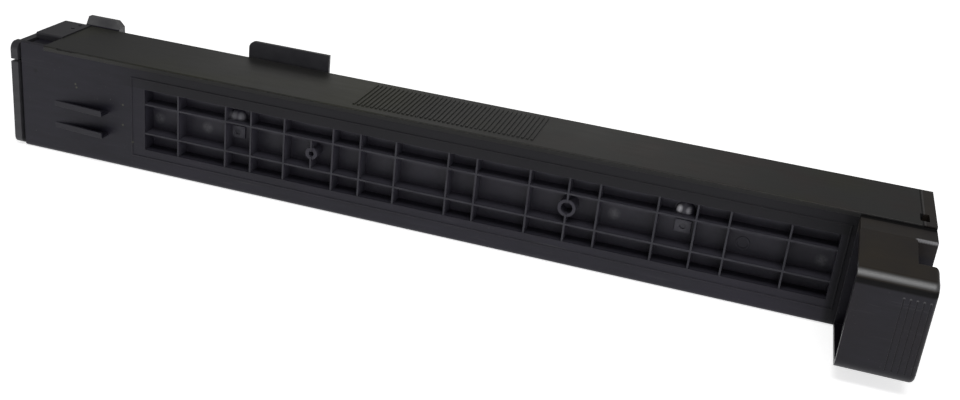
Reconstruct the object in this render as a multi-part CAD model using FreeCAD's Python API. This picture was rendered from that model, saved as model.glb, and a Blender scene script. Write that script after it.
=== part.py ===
"""Toner cartridge for a wide colour printer: a long hopper with a stirrer, a feed screw and a pull grip."""
import FreeCAD, Part
import math
import os

V = FreeCAD.Vector
ALONG = V(1, 0, 0)
BACK = V(0, 1, 0)
UP = V(0, 0, 1)

# Shapes are drawn from the lower front left corner of the body, in millimetres.
# They are moved at the end, so that the origin is in the middle of the resting face.

# Overall body
length = 480.0
depth = 46.0
height = 60.0
wall = 2.5
lid_thick = 2.6
edge_round = 2.5
small_round = 0.8

# How far joined shapes sink into each other, and how far cuts run past a face
bite = 0.5
past = 1.0

# Clearances
fit_gap = 0.25
seat_gap = 0.05
run_gap = 0.05
slide_gap = 0.3
gear_gap = 0.35
film_gap = 1.0

# Ends of the hopper moulding
body_start = 6.0
drive_bay = 14.0
bay_roof_drop = 3.0
end_wall = 4.0
body_end_inset = 6.0
chip_bay = 15.5

# Ribbed recess in the front face
recess_start = 80.4
recess_clear = 6.0
recess_low = 13.1
recess_top_drop = 12.9
recess_deep = 9.0
recess_wall = 2.0
rib_thick = 0.95
rib_setback = 0.2
low_rib_rise = 9.3
high_rib_drop = 8.3
left_ribs = (19.5, 47.0, 61.5, 80.3, 107.4, 122.3, 141.4, 169.2)
right_ribs = (176.0, 148.7, 113.5, 84.9, 66.1, 50.5, 22.1)

# Raised border line round the recess
border_wide = 0.7
border_proud = 0.35
border_left = 8.1
border_right = 3.9
border_below = 4.8
border_above = 5.7

# Screw posts, gate wells, pads and a moulded ring on the recess floor
boss_rise = 17.7
small_boss_place = 95.5
small_boss_radius = 3.2
small_boss_bore = 1.4
large_boss_place = 128.8
large_boss_radius = 4.5
large_boss_bore = 3.0
boss_setback = 0.8
left_gate_place = 50.5
right_gate_place = 72.4
gate_radius = 4.9
gate_rise = 4.6
pad_wide = 8.0
pad_high = 6.5
pad_rise = 14.9
pad_proud = 1.0
pad_mark_radius = 1.5
pad_mark_deep = 0.6
ring_place = 42.9
ring_rise = 15.6
ring_radius = 3.4
ring_proud = 0.35
ring_wall = 0.8

# Hollow ramp guides on the plain front area
ramp_start = 25.5
ramp_length = 33.0
ramp_proud = 7.0
ramp_thick = 3.1
ramp_wall = 1.3
ramp_floor = 0.9
ramp_tilt = 3.8
ramp_levels = (17.1, 29.5)

# Rear guide tab and rear hump
tab_start = 115.0
tab_long = 47.6
tab_reach = 6.8
tab_thick = 2.0
tab_rise = 7.5
tab_foot_drop = 10.0
tab_round = 4.0
hump_start = 15.8
hump_long = 21.0
hump_reach = 6.5
hump_rise = 4.2
hump_foot_drop = 12.0
hump_chamfer = 3.0

# Toner chamber
throat_rise = 11.6
trough_gap = 0.7
trough_floor = 0.9

# Feed screw
screw_radius = 6.9
screw_core = 2.5
screw_square = 3.6
screw_journal = 2.0
screw_pitch = 20.0
flight_thick = 1.3
flight_sides = 4
paddle_count = 4
paddle_reach = 6.0
paddle_thick = 1.6

# Gears of the drive train
pressure_angle = 20.0
stir_teeth = 30
screw_teeth = 14
addendum = 0.9
dedendum = 1.25
backlash = 0.16
centre_extra = 0.1
flank_steps = 2
gear_wide = 6.0
gear_bay_gap = 1.5
gear_hub_radius = 5.5
gear_hub_proud = 0.9
gear_web_thick = 2.6
gear_rim = 2.2

# Stirrer
stir_shaft_radius = 3.0
stir_journal = 2.5
journal_deep = 2.2
web_rise = 7.0
web_thick = 2.0
web_inset = 6.0
film_thick = 0.4
film_foot = 3.2
strip_thick = 1.1
strip_high = 4.0
strip_inset = 0.2
stake_count = 7
stake_end_inset = 18.0
stake_wide = 1.8
stake_head = 2.8
stake_head_thick = 0.7

# Shaft seals and bushes
seal_thick = 2.4
seal_radius = 5.6
bush_radius = 4.4
bush_floor = 1.4

# Outlet, its foam seal and its shutter
outlet_x = 33.0
outlet_long = 16.0
outlet_wide = 9.0
seal_rim = 3.6
foam_thick = 1.2
foam_squeeze = 0.1
shutter_thick = 1.3
shutter_wide = 26.0
shutter_margin = 7.0
shutter_travel = 25.0
shutter_lip_inset = 2.4
shutter_lip = 0.8
shutter_grip_count = 4
shutter_grip_wide = 0.9

# Underside coring
core_deep = 10.5
core_count = 12
core_web = 2.4
core_wall = 3.6
core_start_gap = 7.5

# Drive end cap
flange_thick = 4.2
flange_round = 4.0
flange_low = 0.8
flange_top_drop = 1.2
flange_front_proud = 0.8
flange_front_deep = 6.0
flange_rear_drop = 2.0
flange_notch_drop = 11.8
flange_notch_high = 1.4
flange_notch_deep = 5.0
skirt_thick = 1.2
skirt_deep = 4.8
roof_front = 17.0
roof_back_inset = 1.4
roof_proud = 0.6
roof_bevel = 1.0
roof_holes = ((15.4, 12.1), (15.6, 5.6))
roof_hole_radius = 1.1
roof_hole_deep = 1.8

# Drive coupling
coupling_radius = 8.6
coupling_gap = 0.5
coupling_inset = 0.8
coupling_wall = 1.8
coupling_deep = 5.0
coupling_floor = 1.0
dog_count = 3
dog_wide = 3.0
dog_long = 3.6

# Handle end cap and grip
cap_arm_x = 9.0
cap_arm_reach = 15.0
cap_arm_drop = 1.4
cap_arm_round = 0.7
cap_wall = 3.0
grip_long = 33.6
grip_reach = 54.0
grip_top_drop = 4.4
grip_low_back = 1.0
grip_low_front = 6.5
grip_round = 6.0
grip_wall = 2.5
grip_end_round = 2.2
grip_lip_deep = 17.0
grip_web_y = 15.0
grip_web_setback = 3.0
groove_count = 5
groove_pitch = 2.75
groove_inset = 13.5
groove_wide = 0.6
groove_deep = 0.3
groove_rise = 5.5
groove_drop = 8.6
notch_front = 4.4
notch_long = 9.1
notch_in_lid = 1.5
notch_in_cap = 2.8
notch_deep = 3.0

# Lid
lid_start = 20.0
lid_rib_thick = 1.4
lid_rib_deep = 2.4
ridge_first = 194.5
ridge_count = 40
ridge_pitch = 2.4
ridge_wide = 1.2
ridge_proud = 0.45
ridge_front = 6.6
ridge_back = 41.0
lid_slot_start = 27.5
lid_slot_long = 10.8
lid_slot_wide = 0.8
lid_slot_deep = 0.8

# Cap screws, fill plug and memory chip
post_radius = 3.0
post_side = 7.2
post_low = 7.2
post_drop = 10.5
screw_head_radius = 2.7
screw_head_high = 1.8
screw_shank = 1.4
screw_long = 11.0
screw_slot = 0.8
plug_radius = 4.5
plug_side = 8.7
plug_drop = 14.0
plug_flange = 1.2
plug_flange_thick = 1.4
plug_deep = 4.0
chip_long = 12.0
chip_high = 7.0
chip_thick = 1.0
chip_side = 14.0
chip_rise = 8.5
chip_frame = 1.2
contact_count = 4
contact_thick = 0.1

# Places that follow from the sizes along the body
body_end = length - body_end_inset
bay_end = body_start + drive_bay
chamber_start = bay_end + end_wall
chamber_end = body_end - chip_bay - wall
grip_start = length - grip_long
recess_end = grip_start - recess_clear
gear_start = bay_end - gear_bay_gap - gear_wide
shutter_long = outlet_long + 2 * shutter_margin
shutter_start = outlet_x - shutter_margin

# Levels that follow
recess_high = height - recess_top_drop
low_rib = recess_low + low_rib_rise
high_rib = recess_high - high_rib_drop
boss_level = recess_low + boss_rise
small_boss_x = recess_start + small_boss_place
large_boss_x = recess_end - large_boss_place
chamber_front = recess_deep + recess_wall
chamber_back = depth - wall
chamber_top = height - lid_thick
bay_ceiling = height - bay_roof_drop - wall
foam_top = shutter_lip + shutter_thick + 2 * slide_gap + foam_thick
trough_radius = screw_radius + trough_gap
screw_z = foam_top + trough_floor + trough_radius
throat_high = screw_z + throat_rise
cap_arm_top = height - cap_arm_drop
grip_top = height - grip_top_drop

# The train fills the narrower of its two rooms: from the stirrer to the rear wall, or up to the bay's ceiling
stir_y = (chamber_front + chamber_back) / 2
screw_y = stir_y
side_room = (chamber_back - stir_y - gear_gap) / (stir_teeth / 2 + addendum)
top_room = (bay_ceiling - screw_z - centre_extra - gear_gap) / (stir_teeth + screw_teeth / 2 + addendum)
tooth_module = min(side_room, top_room)
pitch_stir = tooth_module * stir_teeth / 2
pitch_screw = tooth_module * screw_teeth / 2
stir_z = screw_z + pitch_stir + pitch_screw + centre_extra
film_reach = min(chamber_back - stir_y, chamber_top - stir_z, stir_z - screw_z - screw_radius) - film_gap
stake_level = stir_z + film_foot + strip_inset + strip_high / 2
cap_posts = ((post_side, height - post_drop), (depth - post_side, post_low))


def box(x0, x1, y0, y1, z0, z1):
    """Block between two corners."""
    return Part.makeBox(x1 - x0, y1 - y0, z1 - z0, V(x0, y0, z0))


def rod(x0, x1, y, z, radius):
    """Round bar along the length."""
    return Part.makeCylinder(radius, x1 - x0, V(x0, y, z), ALONG)


def pin(x, y0, y1, z, radius):
    """Round bar from front to back."""
    return Part.makeCylinder(radius, y1 - y0, V(x, y0, z), BACK)


def peg(x, y0, y1, z, wide):
    """Square bar from front to back."""
    half = wide / 2
    return box(x - half, x + half, y0, y1, z - half, z + half)


def prism(points, push):
    """Flat outline pushed along a vector."""
    wire = Part.makePolygon(list(points) + [points[0]])
    return Part.Face(wire).extrude(push)


def rounded(shape, radius, chosen):
    """Shape with a fillet on the edges that a test picks."""
    edges = [edge for edge in shape.Edges if chosen(edge)]
    return shape.makeFillet(radius, edges)


def runs_along(edge):
    """True for a straight edge along the length."""
    ends = edge.Vertexes
    if len(ends) != 2:
        return False
    span = ends[1].Point - ends[0].Point
    return abs(span.y) < 1e-6 and abs(span.z) < 1e-6 and abs(span.x) > 1e-6


def at_point(edge, y, z):
    """True when an edge along the length passes through y and z."""
    if not runs_along(edge):
        return False
    point = edge.Vertexes[0].Point
    return abs(point.y - y) < 1e-6 and abs(point.z - z) < 1e-6


def write(name, shape):
    """Move a shape to the part's own frame and write it."""
    placed = shape.copy()
    placed.translate(V(-length / 2, -depth / 2, 0))
    placed.exportStep("parts/" + name + ".step")


def chamber():
    """Toner space: an upper bay, a sloping throat and a round trough for the feed screw."""
    half = trough_radius
    x0 = chamber_start
    upper_low = recess_high + wall
    points = [
        V(x0, wall, height),
        V(x0, wall, upper_low),
        V(x0, chamber_front, upper_low),
        V(x0, chamber_front, throat_high),
        V(x0, screw_y - half, screw_z),
    ]
    edges = [Part.makeLine(points[i], points[i + 1]) for i in range(len(points) - 1)]
    low = V(x0, screw_y, screw_z - half)
    right = V(x0, screw_y + half, screw_z)
    edges.append(Part.Arc(points[-1], low, right).toShape())
    rear = [right, V(x0, chamber_back, throat_high), V(x0, chamber_back, height), points[0]]
    edges += [Part.makeLine(rear[i], rear[i + 1]) for i in range(len(rear) - 1)]
    return Part.Face(Part.Wire(edges)).extrude(V(chamber_end - chamber_start, 0, 0))


def cross_rib_places():
    """Places of the upright ribs, set out from both ends of the recess."""
    return [recess_start + place for place in left_ribs] + [recess_end - place for place in right_ribs]


def gate_well(x):
    """Domed gate mark that stands on the upper long rib."""
    foot = high_rib + rib_thick / 2
    dome = Part.makeSphere(gate_radius, V(x, recess_deep, foot))
    keep = box(x - gate_radius, x + gate_radius, recess_deep - gate_radius, recess_deep + bite,
               foot - bite, foot + gate_rise)
    return dome.common(keep)


def floor_pad(x):
    """Low pad with a round mark in it on the recess floor."""
    face = recess_deep - pad_proud
    low = recess_low + pad_rise
    pad = box(x - pad_wide / 2, x + pad_wide / 2, face, recess_deep + bite, low, low + pad_high)
    return pad.cut(pin(x, face - past, face + pad_mark_deep, low + pad_high / 2, pad_mark_radius))


def floor_ring():
    """Low moulded ring on the recess floor."""
    face = recess_deep - ring_proud
    x = recess_end - ring_place
    z = recess_low + ring_rise
    ring = pin(x, face, recess_deep + bite, z, ring_radius)
    return ring.cut(pin(x, face - past, recess_deep, z, ring_radius - ring_wall))


def recess_ribs():
    """Lattice of thin ribs and the two screw posts on the recess floor."""
    floor = recess_deep + bite
    half = rib_thick / 2
    pieces = []
    for level in (low_rib, high_rib):
        pieces.append(box(recess_start - bite, recess_end + bite, rib_setback, floor, level - half, level + half))
    for x in cross_rib_places() + [large_boss_x]:
        pieces.append(box(x - half, x + half, rib_setback, floor, recess_low - bite, recess_high + bite))
    pieces.append(box(small_boss_x - half, small_boss_x + half, rib_setback, floor, low_rib, high_rib))
    pieces.append(pin(small_boss_x, boss_setback, floor, boss_level, small_boss_radius))
    pieces.append(pin(large_boss_x, boss_setback, floor, boss_level, large_boss_radius))
    return pieces


def boss_bores():
    """Blind holes of the two screw posts."""
    return [pin(small_boss_x, -past, recess_deep - bite, boss_level, small_boss_bore),
            pin(large_boss_x, -past, recess_deep - bite, boss_level, large_boss_bore)]


def recess_border():
    """Thin raised line round the ribbed recess."""
    x0 = recess_start - border_left
    x1 = recess_end + border_right
    z0 = recess_low - border_below
    z1 = recess_high + border_above
    line = box(x0, x1, -border_proud, bite, z0, z1)
    inside = box(x0 + border_wide, x1 - border_wide, -border_proud - past, bite + past,
                 z0 + border_wide, z1 - border_wide)
    return line.cut(inside)


def ramp_guide(level):
    """Guide that rises to the right: a thin sloped face with a hollow behind it, open above."""
    end = ramp_start + ramp_length
    outline = [V(ramp_start, bite, level), V(ramp_start, 0, level), V(end, -ramp_proud, level), V(end, bite, level)]
    guide = prism(outline, V(0, 0, ramp_thick))
    slope = ramp_proud / ramp_length
    hollow = [V(ramp_start + ramp_wall / slope, 0, level + ramp_floor),
              V(end + past, ramp_wall - slope * (ramp_length + past), level + ramp_floor),
              V(end + past, 0, level + ramp_floor)]
    guide = guide.cut(prism(hollow, V(0, 0, ramp_thick)))
    guide.rotate(V(end, 0, level), BACK, -ramp_tilt)
    return guide


def rear_tab():
    """Upright guide tab behind the top edge, on its own foot."""
    back = depth + tab_reach
    low = height - tab_foot_drop
    foot = box(tab_start, tab_start + tab_long, depth - bite, back, low, low + tab_thick)
    upright = box(tab_start, tab_start + tab_long, back - tab_thick, back, low, height + tab_rise)
    corner = [edge for edge in upright.Edges
              if abs(edge.Vertexes[0].Point.x - tab_start) < 1e-6
              and abs(edge.Vertexes[1].Point.x - tab_start) < 1e-6
              and edge.Vertexes[0].Point.z > height and edge.Vertexes[1].Point.z > height]
    return foot.fuse(upright.makeFillet(tab_round, corner))


def rear_hump():
    """Sloped catch behind the drive end of the lid."""
    x0 = hump_start
    back = depth + hump_reach
    low = height - hump_foot_drop
    top = height + hump_rise
    lid_edge = depth + fit_gap
    lid_foot = chamber_top - fit_gap
    outline = [V(x0, depth - bite, low), V(x0, depth - bite, lid_foot), V(x0, lid_edge, lid_foot),
               V(x0, lid_edge, height), V(x0, depth + hump_reach / 2, top), V(x0, back, top),
               V(x0, back, low + hump_reach)]
    hump = prism(outline, V(hump_long, 0, 0))
    right = x0 + hump_long
    corner = [V(right - hump_chamfer, depth - past, top), V(right, depth - past, top),
              V(right, depth - past, top - hump_chamfer)]
    return hump.cut(prism(corner, V(0, hump_reach + 2 * past, 0)))


def underside_cores():
    """Two rows of cored pockets in the resting face, each side of the trough."""
    first = shutter_start + shutter_long + shutter_travel + core_start_gap
    pitch = (chamber_end - first) / core_count
    reach = trough_radius + core_wall
    pockets = []
    for y0, y1 in ((wall, screw_y - reach), (screw_y + reach, depth - wall)):
        for i in range(core_count):
            x0 = first + i * pitch
            pockets.append(box(x0, x0 + pitch - core_web, y0, y1, -past, core_deep))
    return pockets


def shutter_space():
    """Slot with overhanging rails that the shutter slides in, and the pocket of the foam seal."""
    x0 = shutter_start - slide_gap
    x1 = shutter_start + shutter_long + shutter_travel + slide_gap
    half = shutter_wide / 2 + slide_gap
    lip_half = half - shutter_lip_inset
    top = shutter_lip + shutter_thick + 2 * slide_gap
    slot = box(x0, x1, screw_y - half, screw_y + half, shutter_lip, top)
    mouth = box(x0, x1, screw_y - lip_half, screw_y + lip_half, -past, top)
    foam = foam_outline(shutter_lip, foam_top, seat_gap)
    outlet = box(outlet_x, outlet_x + outlet_long, screw_y - outlet_wide / 2, screw_y + outlet_wide / 2,
                 shutter_lip, screw_z)
    return [slot, mouth, foam, outlet]


def foam_outline(z0, z1, grow):
    """Block round the outlet that the foam seal fills."""
    return box(outlet_x - seal_rim - grow, outlet_x + outlet_long + seal_rim + grow,
               screw_y - outlet_wide / 2 - seal_rim - grow, screw_y + outlet_wide / 2 + seal_rim + grow, z0, z1)


def end_wall_holes():
    """Openings for seals, bushes and the fill plug in the two end walls."""
    cuts = []
    far = chamber_end + wall + past
    for y, z, shaft in ((stir_y, stir_z, stir_shaft_radius), (screw_y, screw_z, screw_core)):
        cuts.append(rod(bay_end - past, bay_end + seal_thick, y, z, seal_radius + seat_gap))
        cuts.append(rod(bay_end, chamber_start + past, y, z, shaft + slide_gap))
        cuts.append(rod(chamber_end - past, far, y, z, bush_radius + seat_gap))
    cuts.append(rod(chamber_end - past, far, depth - plug_side, height - plug_drop, plug_radius + seat_gap))
    return cuts


def screw_posts(x0, x1):
    """Hollow posts that the cap screws bite into."""
    return [rod(x0, x1, y, z, post_radius).cut(rod(x0 - past, x1 + past, y, z, screw_shank + seat_gap))
            for y, z in cap_posts]


def hopper_body():
    """Main moulding: trough, ribbed front, both end bays, rear guides and shutter rails."""
    body = box(body_start, body_end, 0, depth, 0, height)
    body = rounded(body, edge_round, lambda e: at_point(e, 0, 0) or at_point(e, depth, 0))
    lid_room = box(lid_start, body_end + past, -past, depth + past, chamber_top, height + past)
    roof_room = box(body_start - past, lid_start + past, wall, depth + past, height - bay_roof_drop, height + past)
    bay = box(body_start - past, bay_end, wall, depth - wall, wall, bay_ceiling)
    rear_bay = box(chamber_end + wall, body_end + past, wall, depth - wall, wall, height)
    recess = box(recess_start, recess_end, -past, recess_deep, recess_low, recess_high)
    cuts = [lid_room, roof_room, bay, rear_bay, chamber(), recess]
    cuts += end_wall_holes()
    cuts += underside_cores()
    cuts += shutter_space()
    body = body.cut(cuts)
    adds = recess_ribs() + [floor_ring(), recess_border(), rear_tab(), rear_hump()]
    for x in (recess_start + left_gate_place, recess_end - right_gate_place):
        adds += [gate_well(x), floor_pad(x)]
    adds += [ramp_guide(level) for level in ramp_levels]
    adds += screw_posts(flange_thick + seat_gap, bay_end + bite)
    adds += screw_posts(chamber_end + wall - bite, length - cap_wall - seat_gap)
    return body.fuse(adds).cut(boss_bores()).removeSplitter()


def lid_notch(x0, x1, low):
    """Cutter for the small square opening where the lid meets the handle end cap."""
    return box(x0, x1, notch_front, notch_front + notch_long, low, height + past)


def top_lid():
    """Flat welded lid with a band of grip ridges and a locating rib underneath."""
    low = chamber_top
    lid = box(lid_start, body_end, 0, depth, low, height)
    lid = rounded(lid, small_round, lambda e: at_point(e, 0, height) or at_point(e, depth, height))
    rib_out = box(chamber_start + fit_gap, chamber_end - fit_gap, wall + fit_gap, chamber_back - fit_gap,
                  low - lid_rib_deep, low)
    inner = lid_rib_thick + fit_gap
    rib_in = box(chamber_start + inner, chamber_end - inner, wall + inner, chamber_back - inner,
                 low - lid_rib_deep - past, low)
    ridges = [box(ridge_first + i * ridge_pitch, ridge_first + i * ridge_pitch + ridge_wide,
                  ridge_front, ridge_back, height - bite, height + ridge_proud) for i in range(ridge_count)]
    slot = box(lid_slot_start, lid_slot_start + lid_slot_long, -past, lid_slot_wide,
               height - lid_slot_deep, height + past)
    notch = lid_notch(body_end - notch_in_lid, body_end + past, low - past)
    return lid.fuse([rib_out.cut(rib_in)] + ridges).cut([slot, notch]).removeSplitter()


def rounded_plate(x0, x1, y0, y1, z0, z1, radius):
    """Plate across the length with four rounded corners."""
    return rounded(box(x0, x1, y0, y1, z0, z1), radius, runs_along)


def skirt(x0, x1, ceiling):
    """Ring that plugs into the open end of the hopper."""
    outer = box(x0, x1, wall + fit_gap, depth - wall - fit_gap, wall + fit_gap, ceiling - fit_gap)
    inset = wall + fit_gap + skirt_thick
    inner = box(x0 - past, x1 + past, inset, depth - inset, inset, ceiling - fit_gap - skirt_thick)
    return outer.cut(inner)


def chip_pocket(grow):
    """Pocket outline for the memory chip in the drive end face."""
    half_long = chip_long / 2 + grow
    half_high = chip_high / 2 + grow
    return box(-past, chip_thick + chip_frame, chip_side - half_long, chip_side + half_long,
               chip_rise - half_high, chip_rise + half_high)


def drive_end_cap():
    """Cap over the gear bay with a flange, a roof block and the hole for the coupling."""
    flange = rounded_plate(0, flange_thick, -flange_front_proud, depth, flange_low,
                           height - flange_top_drop, flange_round)
    notch_low = height - flange_notch_drop
    notch = box(-past, flange_thick + past, -flange_front_proud - past, flange_notch_deep,
                notch_low, notch_low + flange_notch_high)
    rear_step = box(-past, flange_thick + past, flange_front_deep, depth + past,
                    height - flange_rear_drop, height + past)
    roof_low = height - bay_roof_drop + seat_gap
    roof_top = height + roof_proud
    roof = box(flange_thick - bite, lid_start - fit_gap, roof_front, depth - roof_back_inset, roof_low, roof_top)
    roof = rounded(roof, roof_bevel, lambda e: at_point(e, roof_front, roof_top))
    ring = skirt(flange_thick - bite, body_start + skirt_deep, bay_ceiling)
    cap = flange.cut([notch, rear_step]).fuse([roof, ring])
    cuts = [rod(-past, flange_thick + past, stir_y, stir_z, coupling_radius + coupling_gap)]
    for y, z in cap_posts:
        cuts.append(rod(-past, flange_thick + past, y, z, screw_shank + seat_gap))
        cuts.append(rod(-past, screw_head_high + seat_gap, y, z, screw_head_radius + seat_gap))
    for x, inset in roof_holes:
        foot = V(x, depth - inset, roof_top - roof_hole_deep)
        cuts.append(Part.makeCylinder(roof_hole_radius, roof_hole_deep + past, foot))
    cuts.append(chip_pocket(chip_frame))
    return cap.cut(cuts).removeSplitter()


def grip_profile(x, inset, back):
    """Side outline of the grip, pulled in by a wall: level at the arm, then sloping down to the rolled edge."""
    top = grip_top - inset
    radius = grip_round - inset
    front = inset - grip_reach
    low = grip_low_front + inset
    turn = radius * (1 - math.sqrt(0.5))
    level = V(x, -cap_arm_reach, cap_arm_top - inset)
    upper_start = V(x, front + radius, top)
    upper_end = V(x, front, top - radius)
    low_start = V(x, front, low + radius)
    low_end = V(x, front + radius, low)
    upper = Part.Arc(upper_start, V(x, front + turn, top - turn), upper_end)
    lower = Part.Arc(low_start, V(x, front + turn, low + turn), low_end)
    head = V(x, back, cap_arm_top - inset)
    heel = V(x, back, grip_low_back + inset)
    edges = [Part.makeLine(head, level), Part.makeLine(level, upper_start), upper.toShape(),
             Part.makeLine(upper_end, low_start), lower.toShape(), Part.makeLine(low_end, heel),
             Part.makeLine(heel, head)]
    return Part.Face(Part.Wire(edges))


def grip_lip_gap(lip_start):
    """Room for finger tips between the arm and the pull lip."""
    return box(lip_start, length + past, grip_lip_deep - grip_reach, -cap_arm_reach, -past, height)


def pull_grip():
    """Hollow grip, open towards the hopper side, with a hollow pull lip at the far end."""
    lip_start = length - cap_arm_x
    shell = grip_profile(grip_start, 0, 0).extrude(V(length - grip_start, 0, 0))
    shell = shell.cut(grip_lip_gap(lip_start))
    lip_back = grip_lip_deep - grip_reach
    shell = rounded(shell, grip_end_round, lambda e: all(abs(v.Point.x - length) < 1e-6
                                                         and v.Point.y < lip_back + 1e-6 for v in e.Vertexes))
    inner = grip_profile(grip_start - past, grip_wall, -grip_wall)
    main_room = inner.extrude(V(lip_start - grip_wall - grip_start + past, 0, 0))
    lip_room = inner.extrude(V(length - grip_wall - grip_start + past, 0, 0))
    front_only = box(grip_start - past, length, -grip_reach, lip_back - grip_wall, 0, height)
    web = box(grip_start + grip_web_setback, lip_start, -grip_web_y - grip_wall, -grip_web_y, 0, height)
    web = web.common(shell)
    grooves = [box(length - groove_inset + i * groove_pitch, length - groove_inset + i * groove_pitch + groove_wide,
                   -grip_reach - past, -grip_reach + groove_deep, grip_low_front + groove_rise,
                   grip_top - groove_drop) for i in range(groove_count)]
    return shell.cut([main_room, lip_room.common(front_only)]).fuse(web).cut(grooves)


def handle_end_cap():
    """Cap over the chip bay, with the arm and the pull grip moulded on."""
    cap = box(body_end, length, 0, depth, 0, height)
    cap = rounded(cap, edge_round, lambda e: at_point(e, depth, 0))
    cap = rounded(cap, small_round, lambda e: at_point(e, depth, height))
    inset = wall + fit_gap + skirt_thick
    inside = box(body_end - past, length - cap_wall, inset, depth - inset, inset,
                 chamber_top - fit_gap - skirt_thick)
    arm = box(length - cap_arm_x, length, -cap_arm_reach, bite, grip_low_front, cap_arm_top)
    arm = rounded(arm, cap_arm_round, lambda e: at_point(e, -cap_arm_reach, cap_arm_top))
    clear_body = box(grip_start - past, body_end + fit_gap, -fit_gap, past, -past, height)
    bridge = box(body_end, length, -bite, bite, grip_low_front, cap_arm_top)
    limb = arm.fuse(pull_grip()).cut(clear_body)
    cap = cap.cut(inside).fuse([skirt(body_end - skirt_deep, body_end + bite, chamber_top), bridge, limb])
    cuts = [lid_notch(body_end - past, body_end + notch_in_cap, chamber_top - notch_deep)]
    for y, z in cap_posts:
        cuts.append(rod(length - cap_wall - past, length + past, y, z, screw_shank + seat_gap))
        cuts.append(rod(length - screw_head_high - seat_gap, length + past, y, z, screw_head_radius + seat_gap))
    return cap.cut(cuts).removeSplitter()


def involute(base, angle):
    """Radius and turn of an involute point after a roll angle."""
    return base * math.sqrt(1 + angle * angle), angle - math.atan(angle)


def spur_gear(teeth, y, z, turn):
    """Involute spur gear with its first tooth at the given turn from the back."""
    pitch = tooth_module * teeth / 2
    base = pitch * math.cos(math.radians(pressure_angle))
    tip = pitch + addendum * tooth_module
    root = pitch - dedendum * tooth_module
    pitch_roll = math.tan(math.radians(pressure_angle))
    half = (math.pi * tooth_module / 2 - backlash) / pitch / 2 + pitch_roll - math.atan(pitch_roll)
    tip_roll = math.sqrt((tip / base) ** 2 - 1)
    flank = [involute(base, tip_roll * i / flank_steps) for i in range(flank_steps + 1)]
    flank = [(radius, half - swing) for radius, swing in flank]
    if root < base:
        flank.insert(0, (root, half))
    points = []
    for tooth in range(teeth):
        centre = turn + 2 * math.pi * tooth / teeth
        for radius, swing in flank:
            angle = centre - swing
            points.append(V(gear_start, y + radius * math.cos(angle), z + radius * math.sin(angle)))
        for radius, swing in reversed(flank):
            angle = centre + swing
            points.append(V(gear_start, y + radius * math.cos(angle), z + radius * math.sin(angle)))
    return prism(points, V(gear_wide, 0, 0))


def agitator_gear():
    """Large dished gear on the stirrer shaft, with a hub towards the coupling."""
    gear = spur_gear(stir_teeth, stir_y, stir_z, -math.pi / 2)
    rim = pitch_stir - dedendum * tooth_module - gear_rim
    floor = gear_start + gear_wide - gear_web_thick
    dish = rod(gear_start - past, floor, stir_y, stir_z, rim)
    dish = dish.cut(rod(gear_start - 2 * past, floor + past, stir_y, stir_z, gear_hub_radius))
    hub = rod(gear_start - gear_hub_proud, floor, stir_y, stir_z, gear_hub_radius)
    bore = rod(gear_start - 2 * past, gear_start + gear_wide + past, stir_y, stir_z, stir_shaft_radius + seat_gap)
    return gear.cut(dish).fuse(hub).cut(bore)


def auger_gear():
    """Small gear on the feed screw shaft, meshing with the large one."""
    gear = spur_gear(screw_teeth, screw_y, screw_z, math.pi / 2 + math.pi / screw_teeth)
    return gear.cut(rod(gear_start - past, gear_start + gear_wide + past, screw_y, screw_z, screw_core + seat_gap))


def drive_coupling():
    """Round coupling in the end face, with dogs that a driver turns."""
    x0 = coupling_inset
    x1 = gear_start - gear_hub_proud - seat_gap
    inner = coupling_radius - coupling_wall
    cup = rod(x0 - past, x0 + coupling_deep, stir_y, stir_z, inner)
    body = rod(x0, x1, stir_y, stir_z, coupling_radius).cut(cup)
    dogs = []
    for i in range(dog_count):
        dog = box(x0 + coupling_floor, x0 + coupling_deep + bite, stir_y + inner - dog_long, stir_y + inner + bite,
                  stir_z - dog_wide / 2, stir_z + dog_wide / 2)
        dog.rotate(V(0, stir_y, stir_z), ALONG, 360.0 * i / dog_count)
        dogs.append(dog)
    bore = rod(x0 + coupling_deep + coupling_floor, x1 + past, stir_y, stir_z, stir_shaft_radius + seat_gap)
    return body.fuse(dogs).cut(bore)


def stake_places():
    """Distances along the stirrer of the square stakes that hold its film."""
    first = chamber_start + stake_end_inset
    last = chamber_end - stake_end_inset
    return [first + (last - first) * i / (stake_count - 1) for i in range(stake_count)]


def agitator_shaft():
    """Stirrer shaft with a flat web and square stakes along it."""
    start = coupling_inset + coupling_deep + coupling_floor + seat_gap
    end = chamber_end - slide_gap
    shaft = rod(start, end, stir_y, stir_z, stir_shaft_radius)
    journal = rod(end - bite, chamber_end + journal_deep, stir_y, stir_z, stir_journal)
    web = box(chamber_start + web_inset, chamber_end - web_inset, stir_y - web_thick / 2, stir_y + web_thick / 2,
              stir_z, stir_z + web_rise)
    face = stir_y + web_thick / 2
    cover = face + film_thick + strip_thick + 3 * seat_gap
    stakes = []
    for x in stake_places():
        stakes.append(peg(x, face - bite, cover + bite, stake_level, stake_wide))
        stakes.append(peg(x, cover, cover + stake_head_thick, stake_level, stake_head))
    return shaft.fuse([journal, web] + stakes)


def film_sheet(y0, thick, z0, z1):
    """Strip along the stirrer with a clearance hole at every stake."""
    inset = web_inset + past
    sheet = box(chamber_start + inset, chamber_end - inset, y0, y0 + thick, z0, z1)
    hole = stake_wide + 2 * seat_gap
    return sheet.cut([peg(x, y0 - past, y0 + thick + past, stake_level, hole) for x in stake_places()])


def agitator_film():
    """Plastic film blade that sweeps the chamber."""
    return film_sheet(stir_y + web_thick / 2 + seat_gap, film_thick, stir_z + film_foot, stir_z + film_reach)


def film_clamp():
    """Strip that clamps the film to the web."""
    foot = stir_z + film_foot + strip_inset
    return film_sheet(stir_y + web_thick / 2 + film_thick + 2 * seat_gap, strip_thick, foot, foot + strip_high)


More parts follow.
